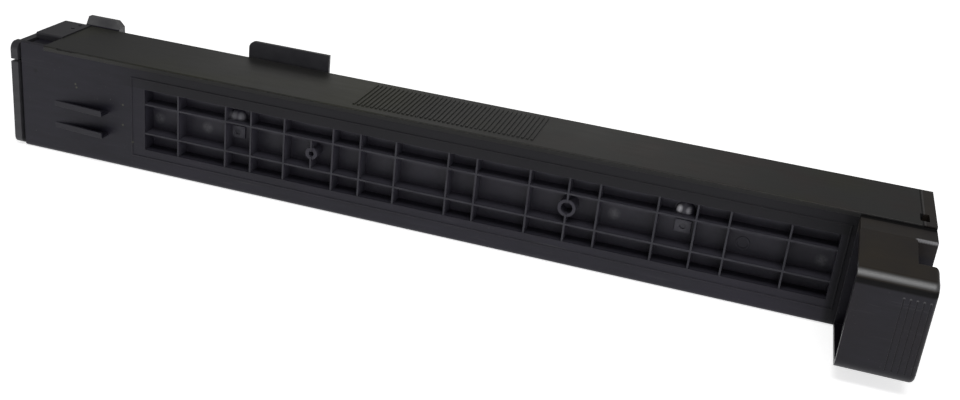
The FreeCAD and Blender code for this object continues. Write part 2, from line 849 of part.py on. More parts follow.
def half_flight(x, upper):
    """One tilted half disc of the feed screw, with a few flat sides as its rim."""
    tilt = math.degrees(math.atan(screw_pitch / 4 / screw_radius))
    stretch = 1 / math.cos(math.radians(tilt))
    first = 0 if upper else math.pi
    points = []
    for i in range(flight_sides + 1):
        angle = first + math.pi * i / flight_sides
        points.append(V(x - flight_thick / 2, screw_y + stretch * screw_radius * math.cos(angle),
                        screw_z + screw_radius * math.sin(angle)))
    flight = prism(points, V(flight_thick, 0, 0))
    flight.rotate(V(x, screw_y, screw_z), UP, tilt if upper else -tilt)
    return flight


def feed_auger():
    """Feed screw: a square core with tilted half flights, and flat paddles over the outlet."""
    end = chamber_end - slide_gap
    neck = rod(gear_start - past, chamber_start + 2 * past, screw_y, screw_z, screw_core)
    half = screw_square / 2
    core = box(chamber_start + past, end, screw_y - half, screw_y + half, screw_z - half, screw_z + half)
    pieces = [core, rod(end - bite, chamber_end + journal_deep, screw_y, screw_z, screw_journal)]
    x = outlet_x + outlet_long + screw_pitch / 2
    upper = True
    while x < chamber_end - screw_pitch / 2:
        pieces.append(half_flight(x, upper))
        upper = not upper
        x += screw_pitch / 2
    for i in range(paddle_count):
        paddle = box(outlet_x - past, outlet_x + outlet_long + past, screw_y, screw_y + paddle_reach,
                     screw_z - paddle_thick / 2, screw_z + paddle_thick / 2)
        paddle.rotate(V(0, screw_y, screw_z), ALONG, 360.0 * i / paddle_count)
        pieces.append(paddle)
    return neck.fuse(pieces)


def shaft_seal(y, z, shaft):
    """Soft ring pressed into the end wall round a turning shaft."""
    ring = rod(bay_end, bay_end + seal_thick - seat_gap, y, z, seal_radius)
    return ring.cut(rod(bay_end - past, bay_end + seal_thick, y, z, shaft + run_gap))


def end_bush(y, z, journal):
    """Blind bush for the far end of a shaft."""
    bush = rod(chamber_end, chamber_end + wall + bush_floor, y, z, bush_radius)
    return bush.cut(rod(chamber_end - past, chamber_end + wall, y, z, journal + run_gap))


def outlet_seal():
    """Foam frame round the toner outlet, above the shutter."""
    low = shutter_lip + shutter_thick + 2 * slide_gap - foam_squeeze
    foam = foam_outline(low, foam_top, 0)
    return foam.cut(box(outlet_x, outlet_x + outlet_long, screw_y - outlet_wide / 2, screw_y + outlet_wide / 2,
                        0, height))


def outlet_shutter():
    """Sliding shutter with side tongues in the rails and grip bars underneath."""
    x0 = shutter_start
    x1 = x0 + shutter_long
    half = shutter_wide / 2
    lip_half = half - shutter_lip_inset
    low = shutter_lip + slide_gap
    plate = box(x0, x1, screw_y - half, screw_y + half, low, low + shutter_thick)
    thick = box(x0, x1, screw_y - lip_half, screw_y + lip_half, slide_gap, low)
    bars = [box(x1 - 3 * shutter_grip_wide * (i + 1), x1 - 3 * shutter_grip_wide * (i + 1) + shutter_grip_wide,
                screw_y - half, screw_y + half, 0, 2 * slide_gap) for i in range(shutter_grip_count)]
    return plate.fuse(thick).cut(bars)


def fill_plug():
    """Flanged plug pressed into the filling hole from the chip bay."""
    face = chamber_end + wall
    y = depth - plug_side
    z = height - plug_drop
    plug = rod(face - plug_deep, face + plug_flange_thick, y, z, plug_radius)
    return plug.fuse(rod(face, face + plug_flange_thick, y, z, plug_radius + plug_flange))


def chip_holder():
    """Frame that holds the memory chip in the end face."""
    half_long = chip_long / 2
    half_high = chip_high / 2
    rim = chip_frame - seat_gap
    frame = box(seat_gap, chip_thick + rim, chip_side - half_long - rim, chip_side + half_long + rim,
                chip_rise - half_high - rim, chip_rise + half_high + rim)
    seat = box(-past, chip_thick, chip_side - half_long, chip_side + half_long,
               chip_rise - half_high, chip_rise + half_high)
    return frame.cut(seat)


def chip_board():
    """Small circuit board of the memory chip."""
    half_long = chip_long / 2 - seat_gap
    half_high = chip_high / 2 - seat_gap
    return box(contact_thick + seat_gap, chip_thick, chip_side - half_long, chip_side + half_long,
               chip_rise - half_high, chip_rise + half_high)


def chip_contacts():
    """Gold pads on the board, as separate solids."""
    pitch = chip_long / contact_count
    pads = []
    for i in range(contact_count):
        middle = chip_side - chip_long / 2 + (i + 0.5) * pitch
        pads.append(box(seat_gap, contact_thick + seat_gap, middle - pitch / 3, middle + pitch / 3,
                        chip_rise - chip_high / 4, chip_rise + chip_high / 4))
    return Part.makeCompound(pads)


def cap_screw(x, y, z, inward):
    """Cap screw with a round head and a cross recess, pointing inward."""
    far = x + inward * screw_head_high
    end = far + inward * screw_long
    deep = x + inward * screw_slot
    head = rod(min(x, far), max(x, far), y, z, screw_head_radius)
    shank = rod(min(far, end), max(far, end), y, z, screw_shank)
    bars = []
    for wide, high in ((screw_head_radius, screw_slot), (screw_slot, screw_head_radius)):
        bars.append(box(min(x, deep), max(x, deep), y - wide / 2, y + wide / 2, z - high / 2, z + high / 2))
    return head.fuse(shank).cut(bars)


def cap_screws():
    """The four identical screws of the two end caps."""
    ends = ((0, 1), (length, -1))
    return Part.makeCompound([cap_screw(x, y, z, inward) for x, inward in ends for y, z in cap_posts])


os.makedirs("parts", exist_ok=True)
write("hopper_body", hopper_body())
write("top_lid", top_lid())
write("drive_end_cap", drive_end_cap())
write("handle_end_cap", handle_end_cap())
write("agitator_shaft", agitator_shaft())
write("agitator_film", agitator_film())
write("film_clamp", film_clamp())
write("agitator_gear", agitator_gear())
write("drive_coupling", drive_coupling())
write("feed_auger", feed_auger())
write("auger_gear", auger_gear())
write("agitator_seal", shaft_seal(stir_y, stir_z, stir_shaft_radius))
write("auger_seal", shaft_seal(screw_y, screw_z, screw_core))
write("agitator_bush", end_bush(stir_y, stir_z, stir_journal))
write("auger_bush", end_bush(screw_y, screw_z, screw_journal))
write("outlet_seal", outlet_seal())
write("outlet_shutter", outlet_shutter())
write("fill_plug", fill_plug())
write("chip_holder", chip_holder())
write("chip_board", chip_board())
write("chip_contacts", chip_contacts())
write("cap_screws", cap_screws())
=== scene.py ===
# %% [markdown]
# # A black toner cartridge
#
# The solids of the cartridge come ready-made in real size. This lesson gives them their looks:
# moulded black plastics with grain, wear and dust, milky inner plastics, metal and foam.

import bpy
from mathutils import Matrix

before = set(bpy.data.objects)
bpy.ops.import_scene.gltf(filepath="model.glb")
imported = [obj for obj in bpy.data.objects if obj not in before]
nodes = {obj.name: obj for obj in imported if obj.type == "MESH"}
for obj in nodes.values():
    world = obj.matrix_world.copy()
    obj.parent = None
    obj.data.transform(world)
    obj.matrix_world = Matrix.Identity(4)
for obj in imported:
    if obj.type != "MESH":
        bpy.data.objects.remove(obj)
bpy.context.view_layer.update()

# %% Modules and units
import functools
import math

import bpy
from mathutils import Matrix, Vector

MM = 0.001
scene = bpy.context.scene
print("pieces to finish:", len(nodes))

# %% [markdown]
# ## Where the camera stands
#
# The photograph was taken from a little right of the middle, above the lid, with the camera rolled.
# The place and the three angles were found by fitting straight edges of the body, so the render
# lies over the photograph. Blender's camera looks along its own -Z, so the matrix is built from
# the sight line, the camera's right and its up.

# %% The camera
CAMERA_PLACE = Vector((161.3, -557.8, 268.0)) * MM
AZIMUTH = math.radians(14.0)
ELEVATION = math.radians(23.73)
ROLL = math.radians(6.444)
LENS_MM = 45.23
SENSOR_MM = 36.0
CLIP_START = 0.01


def aim(place, azimuth, elevation, roll):
    """Camera matrix from a place, a heading, a dip and a roll."""
    sight = Vector((-math.sin(azimuth) * math.cos(elevation),
                    math.cos(azimuth) * math.cos(elevation),
                    -math.sin(elevation)))
    level = sight.cross(Vector((0, 0, 1))).normalized()
    lift = level.cross(sight)
    right = level * math.cos(roll) + lift * math.sin(roll)
    up = lift * math.cos(roll) - level * math.sin(roll)
    turn = Matrix((right, up, -sight)).transposed().to_4x4()
    return Matrix.Translation(place) @ turn


camera_data = bpy.data.cameras.new("camera")
camera_data.lens = LENS_MM
camera_data.sensor_width = SENSOR_MM
camera_data.clip_start = CLIP_START
camera = bpy.data.objects.new("camera", camera_data)
scene.collection.objects.link(camera)
camera.matrix_world = aim(CAMERA_PLACE, AZIMUTH, ELEVATION, ROLL)
scene.camera = camera
print("camera stands", round(CAMERA_PLACE.length, 3), "m from the origin")

# %% [markdown]
# ## A pale table
#
# The floor is plain and glows a little, so it stays white to its far edge. An even white world
# fills in from all sides.

# %% Floor and world
FLOOR_SIZE = 12.0
FLOOR_COLOUR = (0.92, 0.92, 0.92)
FLOOR_ROUGHNESS = 0.7
FLOOR_GLOW = 0.7
WORLD_STRENGTH = 0.24
OPAQUE_WHITE = (1, 1, 1, 1)
scene.view_settings.view_transform = "Standard"


def stage_plastic(name, colour, roughness, glow):
    """Plain glowing material, for what isn't part of the object."""
    made = bpy.data.materials.new(name)
    made.use_nodes = True
    shader = made.node_tree.nodes["Principled BSDF"]
    shader.inputs["Base Color"].default_value = (*colour, 1)
    shader.inputs["Roughness"].default_value = roughness
    shader.inputs["Emission Color"].default_value = OPAQUE_WHITE
    shader.inputs["Emission Strength"].default_value = glow
    return made


bpy.ops.object.select_all(action="DESELECT")
bpy.ops.mesh.primitive_plane_add(size=FLOOR_SIZE, location=(0, 0, 0))
floor = bpy.context.object
floor.name = "floor"
floor.data.materials.append(stage_plastic("pale_floor", FLOOR_COLOUR, FLOOR_ROUGHNESS, FLOOR_GLOW))

world = bpy.data.worlds.new("studio")
world.use_nodes = True
world.node_tree.nodes["Background"].inputs["Color"].default_value = OPAQUE_WHITE
world.node_tree.nodes["Background"].inputs["Strength"].default_value = WORLD_STRENGTH
scene.world = world
print("floor:", FLOOR_SIZE, "m wide")

# %% [markdown]
# ## Soft light
#
# Black plastic shows its form only through what it mirrors. A soft light low behind gives the lid
# its warm grey sheen, and a long one above draws the bright line on the grip's rolled edge. A wide,
# slightly blue one in front, off to the right, fills the ribbed side and leaves the corner beside
# the grip dark.

# %% Lights
WHITE = (1, 1, 1)
WARM = (1.0, 0.985, 0.93)
COOL = (0.92, 0.89, 1.0)


def soft_light(name, place, target, size, power, colour):
    """Rectangular area light that looks at a target, in metres and watts."""
    data = bpy.data.lights.new(name, "AREA")
    data.shape = "RECTANGLE"
    data.size, data.size_y = size
    data.energy = power
    data.color = colour
    lamp = bpy.data.objects.new(name, data)
    scene.collection.objects.link(lamp)
    lamp.location = place
    lamp.rotation_euler = (Vector(target) - Vector(place)).to_track_quat("-Z", "Y").to_euler()


soft_light("back_mid", place=(-0.5, 1.8, 0.75), target=(-0.1, 0, 0.06), size=(1.1, 0.5),
           power=1.03, colour=WARM)
soft_light("roll_strip", place=(0.2, -0.45, 1.2), target=(0.2, -0.07, 0.05), size=(1.1, 0.4),
           power=6.5, colour=WHITE)
soft_light("front_right", place=(0.9, -1.8, 0.4), target=(0, 0, 0.03), size=(1.4, 0.5),
           power=5.5, colour=COOL)

# %% [markdown]
# ## Shader maths as plain expressions
#
# A material is a graph of nodes. Wiring it link by link is hard to read, so two small classes help.
# `Value` wraps one output and lets `a * 2 + b` add the Math nodes. `Finish` makes the material,
# adds any other node in one call, and holds the shader. Its masks, bumps and rounded edges take
# millimetres, because the marks on the plastic were measured that way.

# %% A value in the shader
class Value:
    """One number or colour at every point of the surface."""

    def __init__(self, finish, socket):
        self.finish = finish
        self.socket = socket

    def join(self, operation, other, swap=False):
        pair = (other, self) if swap else (self, other)
        return self.finish.add("ShaderNodeMath", {"operation": operation}, {0: pair[0], 1: pair[1]})

    def __add__(self, other):
        return self.join("ADD", other)

    __radd__ = __add__

    def __sub__(self, other):
        return self.join("SUBTRACT", other)

    def __rsub__(self, other):
        return self.join("SUBTRACT", other, swap=True)

    def __mul__(self, other):
        return self.join("MULTIPLY", other)

    __rmul__ = __mul__

    def step(self, low, high):
        """0 below low, 1 above high and a straight ramp between."""
        return self.finish.add("ShaderNodeMapRange", {"clamp": True},
                               {"Value": self, "From Min": low, "From Max": high})

    def larger(self, other):
        return self.join("MAXIMUM", other)


def largest(values):
    """The largest of some masks, so 1 where any of them is."""
    return functools.reduce(Value.larger, values)


print("value class ready")

# %% A finish and its nodes
# Numbers of the colour sockets on a Mix node
MIX_FIRST = 6
MIX_SECOND = 7
MIX_RESULT = 2
# How far the rounded normal has turned where an edge starts to show and where it shows fully
EDGE_START = 0.02
EDGE_FULL = 0.35


class Finish:
    """A material with one Principled shader, built from expressions."""

    def __init__(self, name, **sockets):
        self.material = bpy.data.materials.new(name)
        self.material.use_nodes = True
        self.tree = self.material.node_tree
        self.shader = self.tree.nodes["Principled BSDF"]
        self.place = self.add("ShaderNodeTexCoord", output="Object")
        for key, number in sockets.items():
            self.shader.inputs[key.replace("_", " ")].default_value = number

    def add(self, kind, settings=None, inputs=None, output=0):
        """New node: settings first, then values or links for its sockets."""
        node = self.tree.nodes.new(kind)
        for key, setting in (settings or {}).items():
            setattr(node, key, setting)
        for key, given in (inputs or {}).items():
            if isinstance(given, Value):
                self.tree.links.new(given.socket, node.inputs[key])
            elif given is not None:
                node.inputs[key].default_value = given
        return Value(self, node.outputs[output])

    def connect(self, key, value):
        self.tree.links.new(value.socket, self.shader.inputs[key])

    def stretch(self, scale, shift=(0, 0, 0)):
        """Object coordinates, scaled per axis."""
        return self.add("ShaderNodeMapping", {}, {"Vector": self.place, "Scale": scale, "Location": shift})

    def noise(self, scale, detail=2.0, rough=0.5, at=None):
        return self.add("ShaderNodeTexNoise", {}, {"Vector": at or self.place, "Scale": scale,
                                                   "Detail": detail, "Roughness": rough})

    def mix(self, factor, first, second):
        """Blend of two colours, each a tuple or a value."""
        first, second = [(*given, 1) if isinstance(given, tuple) else given for given in (first, second)]
        return self.add("ShaderNodeMix", {"data_type": "RGBA"},
                        {"Factor": factor, MIX_FIRST: first, MIX_SECOND: second}, output=MIX_RESULT)

    def near(self, centre, radius, soft):
        """1 within a radius of a point, fading to 0."""
        gap = self.add("ShaderNodeVectorMath", {"operation": "DISTANCE"},
                       {0: self.place, 1: tuple(v * MM for v in centre)}, output="Value")
        return 1 - gap.step((radius - soft) * MM, (radius + soft) * MM)

    def near_any(self, centres, radius, soft):
        """1 within a radius of any of the points."""
        return largest([self.near(centre, radius, soft) for centre in centres])

    def part(self, axis):
        """One coordinate of the place, in metres."""
        return self.add("ShaderNodeSeparateXYZ", {}, {0: self.place}, output=axis)

    def between(self, axis, low, high, soft=0.1):
        """1 between two places on one axis, fading to 0 outside."""
        place = self.part(axis)
        risen = place.step((low - soft) * MM, (low + soft) * MM)
        return risen * (1 - place.step((high - soft) * MM, (high + soft) * MM))

    def bump(self, height, distance, strength, normal=None):
        """Normal bent by a height field, with the distance in millimetres."""
        return self.add("ShaderNodeBump", {}, {"Height": height, "Distance": distance * MM,
                                               "Strength": strength, "Normal": normal}, output="Normal")

    def soft_edges(self, radius):
        """Normal that rounds the sharp edges of a moulding."""
        return self.add("ShaderNodeBevel", {"samples": 4}, {"Radius": radius * MM}, output="Normal")

    def edge(self, rounded_normal):
        """Mask of the edges, where the rounded normal leaves the true one."""
        true_normal = self.add("ShaderNodeNewGeometry", output="Normal")
        same = self.add("ShaderNodeVectorMath", {"operation": "DOT_PRODUCT"},
                        {0: rounded_normal, 1: true_normal}, output="Value")
        return (1 - same).step(EDGE_START, EDGE_FULL)


print("finish class ready")

# %% [markdown]
# ## The black moulded plastics
#
# Real printer plastic isn't one black. The mould is spark-eroded, so the skin has a fine grain.
# Handling leaves paler rubbed edges, hair scratches along the cartridge, smudges and a little dust.
# One function makes all the blacks, and each moulding gets its own tint, smudges and grain. Marks
# that belong to one place, such as a painted highlight on a rim, are passed in as a function that
# lists them. Where fingers have polished the plastic, a mask turns on the shader's coat.

# %% Black plastic
# Rounding and grain in millimetres
EDGE_ROUNDING = 0.35
GRAIN_DEPTH = 0.05
GRAIN_STRENGTH = 0.55
SCRATCH_RELIEF = 0.25
POLISH_ROUGHNESS = 0.5
POLISH_IOR = 2.1
# Noise scales per axis, so that scratches and mottle run along the cartridge
SCRATCH_STRETCH = (26, 900, 900)
MOTTLE_STRETCH = (45, 260, 300)
SMUDGE_SHIFT = (0.3, 0.1, 0.2)
SCRATCH_GREY = (0.13, 0.13, 0.13)
RUBBED_GREY = (0.16, 0.16, 0.165)
DUST_GREY = (0.32, 0.31, 0.29)
# How much of the plastic each of those greys covers at most
SCRATCH_COVER = 0.35
RUBBED_COVER = 0.30
DUST_COVER = 0.5
# How the darkest and palest clouds follow from the tint
DARK_SHARE = 0.68
PALE_SHARE = 1.3
PALE_LIFT = 0.002
# How much each field changes the roughness
CLOUD_ROUGHNESS = 0.11
MOTTLE_ROUGHNESS = 0.05
GRAIN_ROUGHNESS = 0.05
SCRATCH_ROUGHNESS = 0.12
EDGE_POLISH = 0.08


def scaled(tint, share, lift=0.0):
    """Tint made darker or paler."""
    return tuple(share * v + lift for v in tint)


def black_plastic(name, tint, roughness, ior=1.36, grain=0.5, scuff=0.5, edge_gain=0.5,
                  smudge=None, marks=None, polish=None):
    """Moulded black with grain, cloudiness, smudges, scratches, dust, rubbed edges and own marks."""
    made = Finish(name, IOR=ior, Coat_Roughness=POLISH_ROUGHNESS, Coat_IOR=POLISH_IOR)
    rounded_normal = made.soft_edges(EDGE_ROUNDING)
    edge = made.edge(rounded_normal)
    clouds = made.noise(scale=9, detail=3, rough=0.55).step(0.3, 0.7)
    grain_field = made.noise(scale=2600, detail=2, rough=0.6)
    streaks = made.noise(1, detail=4, rough=0.6, at=made.stretch(SCRATCH_STRETCH)).step(0.60, 0.74)
    scratch = streaks * made.noise(scale=22, detail=2, rough=0.5).step(0.46, 0.66)
    mottle = made.noise(1, detail=3, rough=0.6, at=made.stretch(MOTTLE_STRETCH)).step(0.3, 0.7)
    specks = made.noise(scale=1500, detail=1, rough=0.4).step(0.755, 0.80)
    dust = specks * made.noise(scale=40, detail=2, rough=0.5).step(0.42, 0.7)
    colour = made.mix(clouds * 0.5 + mottle * 0.5, scaled(tint, DARK_SHARE),
                      scaled(tint, PALE_SHARE, PALE_LIFT))
    if smudge:
        spread = made.noise(scale=14, detail=2, rough=0.5, at=made.stretch((1, 1, 1), SMUDGE_SHIFT))
        colour = made.mix(spread.step(0.5, 0.66), colour, smudge)
    colour = made.mix(scratch * (SCRATCH_COVER * scuff), colour, SCRATCH_GREY)
    colour = made.mix(edge * (RUBBED_COVER * edge_gain), colour, RUBBED_GREY)
    colour = made.mix(dust * (DUST_COVER * scuff), colour, DUST_GREY)
    rough = clouds * CLOUD_ROUGHNESS + mottle * MOTTLE_ROUGHNESS
    rough = rough + (roughness - (CLOUD_ROUGHNESS + MOTTLE_ROUGHNESS) / 2)
    rough = rough + grain_field * GRAIN_ROUGHNESS - edge * EDGE_POLISH + scratch * SCRATCH_ROUGHNESS
    relief = grain_field * grain + scratch * SCRATCH_RELIEF
    for mask, mark_colour, gloss, rise in (marks(made) if marks else []):
        colour = made.mix(mask, colour, mark_colour)
        rough = rough - mask * gloss
        relief = relief + mask * rise
    made.connect("Base Color", colour)
    made.connect("Roughness", rough)
    made.connect("Normal", made.bump(relief, GRAIN_DEPTH, GRAIN_STRENGTH, rounded_normal))
    if polish:
        made.connect("Coat Weight", polish(made))
    return made


def mark(mask, colour, amount=1.0, gloss=0.0, rise=0.0):
    """One mark: where it lies, its colour and how much it covers, how glossy and how proud it is."""
    return mask * amount, colour, gloss, rise


print("black plastic is ready")

# %% [markdown]
# ## Marks in the ribbed recess
#
# The recess floor and walls are painted paler than the face round them, as painted light that lifts
# their shade, most of all right under the top edge and under each long rib. It shows the round marks
# of ejector pins and two small pads. Two glossy gate marks get painted highlights, each a pair of
# pale lobes, and the right pair stays within its dome. The front rims of the ribs get a painted
# highlight. Here and in the cells below, all places and sizes are in millimetres.

# %% Marks in the recess
RIB_Y = -22.8
FLOOR_Y = -14.0
RECESS_X = (-159.6, 200.4)
RECESS_Z = (13.1, 47.1)
RIM_Y = (RIB_Y - 0.1, RIB_Y + 0.25)
WALL_Y = (RIB_Y + 0.6, FLOOR_Y - 0.4)
FLOOR_SKIN_Y = (FLOOR_Y - 0.4, FLOOR_Y + 1)
UNDER_RIBS = ((42.6, 47.6), (34.6, 38.8), (18.4, 22.4))
UNDER_RIB_FADE = 1.4
PIN_MARKS = [(-155.9, FLOOR_Y, 29.1), (-127.3, FLOOR_Y, 29.5), (94.0, FLOOR_Y, 29.7),
             (194.9, FLOOR_Y, 28.2)]
PADS = [(-109.1, FLOOR_Y - 1, 31.2), (127.6, FLOOR_Y - 1, 31.2)]
LEFT_GATE = [(-110.4, -18.0, 41.2), (-105.9, -17.2, 40.9)]
RIGHT_GATE = [(124.6, -17.5, 41.0), (130.6, -17.5, 40.6)]
RIGHT_DOME = (127.6, FLOOR_Y, 39.3)
RIGHT_DOME_Z = (39.35, 60)
DOME_PALENESS = 0.06
FLOOR_PAINTED_LIGHT = (0.03, 0.0288, 0.037)
UNDER_RIB_PAINTED_LIGHT = (0.062, 0.06, 0.073)
WALL_PAINTED_LIGHT = (0.043, 0.0413, 0.053)
RIB_RIM_HIGHLIGHT = (0.045, 0.045, 0.053)
PIN_GREY = (0.12, 0.12, 0.127)
PAD_GREY = (0.08, 0.08, 0.088)
LEFT_GATE_HIGHLIGHT = (0.27, 0.27, 0.283)
RIGHT_GATE_HIGHLIGHT = (0.9, 0.9, 0.92)


def patchiness(made):
    """Uneven patches between 0.3 and 1 that vary how much a mark covers."""
    return made.noise(scale=70, detail=3, rough=0.6).step(0.3, 0.7) * 0.7 + 0.3


def recess_marks(made):
    """Painted light on floor and walls, painted highlights on rims and gates, pin marks and pads."""
    window = made.between("X", *RECESS_X) * made.between("Z", *RECESS_Z)
    floor_skin = window * made.between("Y", *FLOOR_SKIN_Y)
    under = largest([made.between("Z", low, high, UNDER_RIB_FADE) for low, high in UNDER_RIBS])
    walls = window * made.between("Y", *WALL_Y)
    rims = window * made.between("Y", *RIM_Y)
    rim_highlight_patches = made.noise(scale=90, detail=2, rough=0.5).step(0.3, 0.62) * 0.4 + 0.1
    speckle = made.noise(scale=900, detail=2, rough=0.6).step(0.3, 0.65) * 0.4 + 0.2
    dome = made.near(RIGHT_DOME, radius=5.0, soft=0.15) * made.between("Z", *RIGHT_DOME_Z)
    lobes = made.near_any(RIGHT_GATE, radius=1.8, soft=0.8)
    return [
        # Painted light: floor and walls painted paler to lift their shade, most under the top edge and
        # ribs
        mark(floor_skin, FLOOR_PAINTED_LIGHT, amount=patchiness(made)),
        mark(floor_skin * under, UNDER_RIB_PAINTED_LIGHT, amount=0.85),
        mark(walls, WALL_PAINTED_LIGHT),
        # Painted highlight along the front rims of the ribs
        mark(rims, RIB_RIM_HIGHLIGHT, amount=rim_highlight_patches, gloss=0.1),
        mark(made.near_any(PIN_MARKS, radius=2.4, soft=1.3), PIN_GREY, speckle, gloss=0.05, rise=0.3),
        mark(made.near_any(PADS, radius=3.6, soft=0.8), PAD_GREY, speckle, gloss=0.1),
        # Painted highlights: pale lobes on the two glossy gate marks, the right pair kept within its dome
        mark(made.near_any(LEFT_GATE, radius=2.0, soft=1.0), LEFT_GATE_HIGHLIGHT, amount=0.85, gloss=0.3),
        mark(dome * (DOME_PALENESS + (1 - DOME_PALENESS) * lobes), RIGHT_GATE_HIGHLIGHT, gloss=0.3),
    ]


print("pin marks:", len(PIN_MARKS))

# %% [markdown]
# ## Marks on the rest of the hopper
#
# The strip above the recess is painted darker than the face below, as painted shade under the lid,
# and so is the corner beside the grip, as painted shade from the grip. A few specks and a small
# dimple sit on the plain area at the left, and the dimple is painted dark as its shade. The tab and
# the hump at the rear are paler, the hump most of all. Marks are laid on in the order of the list, so
# the strip comes first and the corner, which crosses it, last.

# %% Marks on the hopper
FRONT_Y = -23.0
FRONT_SKIN_Y = (FRONT_Y - 0.8, FRONT_Y + 0.1)
SHADED_X = (-166, 250)
SHADED_FADE = 14
STRIP_Z = (47.3, 62)
CORNER_X = (201, 240)
CORNER_Y = (-24, -22)
CORNER_FADE = 1.5
REAR_Y = (23.5, 60)
HUMP_X = (-240, -200)
SPECKS = [(-201.2, FRONT_Y, 42.2), (-200.6, FRONT_Y, 40.4), (-172.7, FRONT_Y, 36.0),
          (-172.9, FRONT_Y, 24.6), (-167.0, FRONT_Y, 16.0)]
DIMPLE = (-225.4, FRONT_Y, 45.5)
STRIP_PAINTED_SHADE = (0.0035, 0.0032, 0.005)
SPECK_OLIVE = (0.15, 0.15, 0.1)
DIMPLE_PAINTED_SHADE = (0.006, 0.006, 0.008)
REAR_PALE_GREY = (0.055, 0.055, 0.058)
HUMP_PALE_GREY = (0.15, 0.15, 0.15)
CORNER_PAINTED_SHADE = (0.002, 0.002, 0.003)


def shaded(made):
    """1 along the part from the recess to the grip, fading in at the left."""
    return made.between("X", *SHADED_X, SHADED_FADE)


def hopper_marks(made):
    """The recess, painted shade on strip, corner and dimple, specks, and paler rear guides."""
    strip = shaded(made) * made.between("Y", *FRONT_SKIN_Y) * made.between("Z", *STRIP_Z)
    specks = made.near_any(SPECKS, radius=0.45, soft=0.3)
    rear = made.between("Y", *REAR_Y)
    hump = rear * made.between("X", *HUMP_X)
    rear_patches = patchiness(made)
    corner = made.between("X", *CORNER_X, CORNER_FADE) * made.between("Y", *CORNER_Y)
    return [
        # Painted shade on the strip under the lid
        mark(strip, STRIP_PAINTED_SHADE, amount=0.9),
        *recess_marks(made),
        mark(specks, SPECK_OLIVE, amount=0.45, rise=0.5),
        # Painted shade in the small dimple
        mark(made.near(DIMPLE, radius=1.2, soft=0.4), DIMPLE_PAINTED_SHADE, amount=0.7, rise=-4.0),
        # The rear guides and the hump are painted paler, the hump most
        mark(rear, REAR_PALE_GREY, amount=rear_patches * 0.5 + 0.4, gloss=0.06),
        mark(hump * rear_patches, HUMP_PALE_GREY, amount=0.7),
        # Painted shade in the corner beside the grip
        mark(corner, CORNER_PAINTED_SHADE, amount=0.75, gloss=-0.2),
    ]


print("specks:", len(SPECKS))

# %% [markdown]
# ## Marks on the lid
#
# Hands leave brown marks on the lid towards the grip. Dust gathers along its front edge, the front
# rim below that edge is painted dark as its shade, and a dark seam shows where the lid meets the cap.

# %% Marks on the lid
LID_END_X = 234.0
LID_FRONT_Y = (-24, -22.6)
LID_FRONT_Z = (59, 61)
LID_FRONT_FADE = 0.4
LID_RIM_Y = (-24, -22.9)
LID_RIM_Z = (50, 59.7)
SEAM_X = (LID_END_X - 0.6, LID_END_X + 1)
WARM_X = (60, 250)
WARM_FADE = 30
HANDLED_BROWN = (0.0205, 0.0148, 0.0135)
SHADE_BLACK = (0.001, 0.001, 0.001)
EDGE_DUST = (0.12, 0.115, 0.085)
SEAM_BLACK = (0.002, 0.002, 0.002)


def lid_marks(made):
    """Brown handling marks, painted shade on the front rim, dust along the front edge, the seam at the
    cap.
    """
    blots = made.noise(scale=32, detail=2, rough=0.5).step(0.45, 0.66)
    rim = shaded(made) * made.between("Y", *LID_RIM_Y) * made.between("Z", *LID_RIM_Z)
    grit = made.noise(scale=1000, detail=2, rough=0.6).step(0.42, 0.62)
    front = made.between("Y", *LID_FRONT_Y, LID_FRONT_FADE) * made.between("Z", *LID_FRONT_Z)
    return [
        mark(made.between("X", *WARM_X, WARM_FADE) * blots, HANDLED_BROWN, amount=0.8),
        # Painted shade on the lid's front rim
        mark(rim, SHADE_BLACK, amount=0.95),
        mark(front * grit, EDGE_DUST, amount=0.1),
        mark(made.between("X", *SEAM_X), SEAM_BLACK, amount=0.9, gloss=-0.3),
    ]


print("seam at", LID_END_X, "mm from the middle")

# %% [markdown]
# ## Marks on the grip
#
# Fingers have polished a band on the grip's rolled edge, and right below the band the plastic is
# painted dark as its shade. Both are found by the distance from the middle line of the roll and by
# the height. The tops of the grooves get painted glints and the arm's lip a painted highlight. Where
# the arm meets the body, painted shade stands in for a dark gap, and a rim gets a painted highlight.

# %% Marks on the grip
ROLL_Y = -71.0
ROLL_Z = 49.6
ROLL_FADE = (5.8, 8.6)
POLISH_RISE = (52.4, 53.4)
POLISH_FALL = (54.8, 55.45)
BELOW_POLISH_Z = (ROLL_Z, 52.3)
BELOW_POLISH_FADE = 0.5
HANDLED_Z = (51, 62)
HANDLED_FADE = 1.5
GAP_Y = (-25.6, -22.9)
GAP_Z = (57, 59.3)
CAP_RIM_X = (LID_END_X + 0.3, LID_END_X + 0.9)
CAP_RIM_Z = (59.6, 61)
GRIP_BROWN = (0.027, 0.021, 0.0135)
POLISHED_BLACK = (0.008, 0.008, 0.009)
BELOW_POLISH_SHADE = (0.001, 0.001, 0.0013)
GROOVE_GLINT = (0.2, 0.2, 0.2)
CAP_RIM_HIGHLIGHT = (0.09, 0.09, 0.09)
LIP_HIGHLIGHT = (0.4, 0.4, 0.41)


def row(start, step, count):
    """Points in a row along X."""
    x, y, z = start
    return [(x + step * i, y, z) for i in range(count)]


GROOVE_TOPS = row((226.8, -77.0, 47.0), step=2.75, count=5)
CAP_LIP = row((231.2, -38.0, 58.3), step=1.1, count=9)


def round_about(made):
    """1 around the middle line of the grip's rolled edge."""
    across = made.part("Y") - ROLL_Y * MM
    lift = made.part("Z") - ROLL_Z * MM
    reach = made.add("ShaderNodeMath", {"operation": "SQRT"}, {0: across * across + lift * lift})
    return 1 - reach.step(ROLL_FADE[0] * MM, ROLL_FADE[1] * MM)


def rolled_edge(made):
    """1 on the band of the rolled edge that fingers polish."""
    height = made.part("Z")
    rise = height.step(POLISH_RISE[0] * MM, POLISH_RISE[1] * MM)
    return round_about(made) * rise * (1 - height.step(POLISH_FALL[0] * MM, POLISH_FALL[1] * MM))


